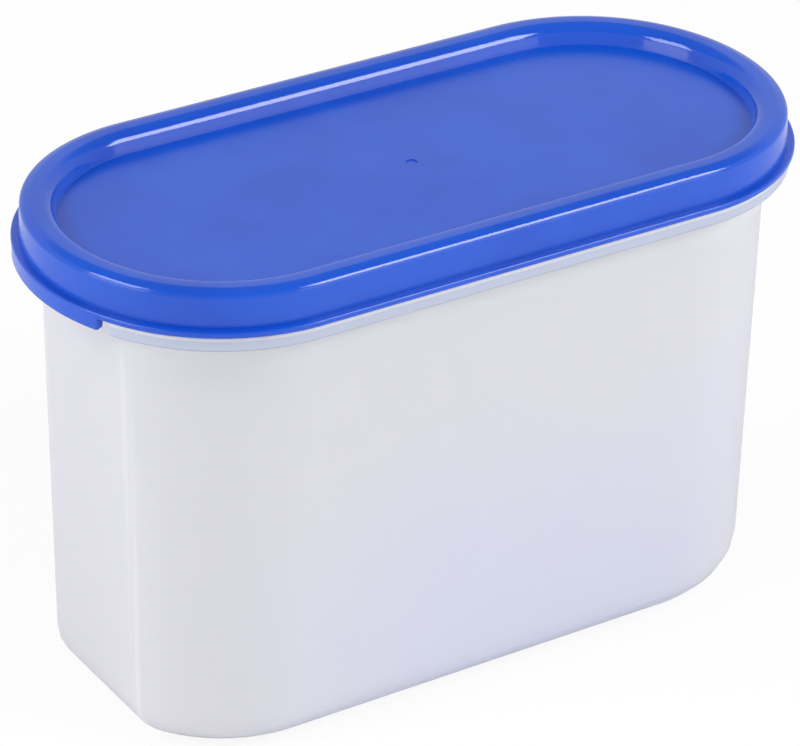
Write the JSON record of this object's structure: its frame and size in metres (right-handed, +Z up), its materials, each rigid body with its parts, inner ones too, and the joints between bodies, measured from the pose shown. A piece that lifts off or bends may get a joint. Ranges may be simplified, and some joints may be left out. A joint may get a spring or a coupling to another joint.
{
  "type": "food storage container",
  "caption": "Tall oval tub of clear frosted plastic with a blue press-on lid, its raised rim round a sunk panel and a pull tab at one end.",
  "frame": {"origin": "on the ground under the middle of the oval", "axes": "+Z up, X along the long side with the pull tab at -X, Y across"},
  "size_m": [0.191, 0.0926, 0.1224],
  "materials": {
    "tub": "frosted, see-through natural plastic",
    "lid": "smooth moulded royal blue plastic with a soft gloss"
  },
  "bodies": {
    "root": {"tub": "tub", "lid": "lid"}
  },
  "joints": []
}
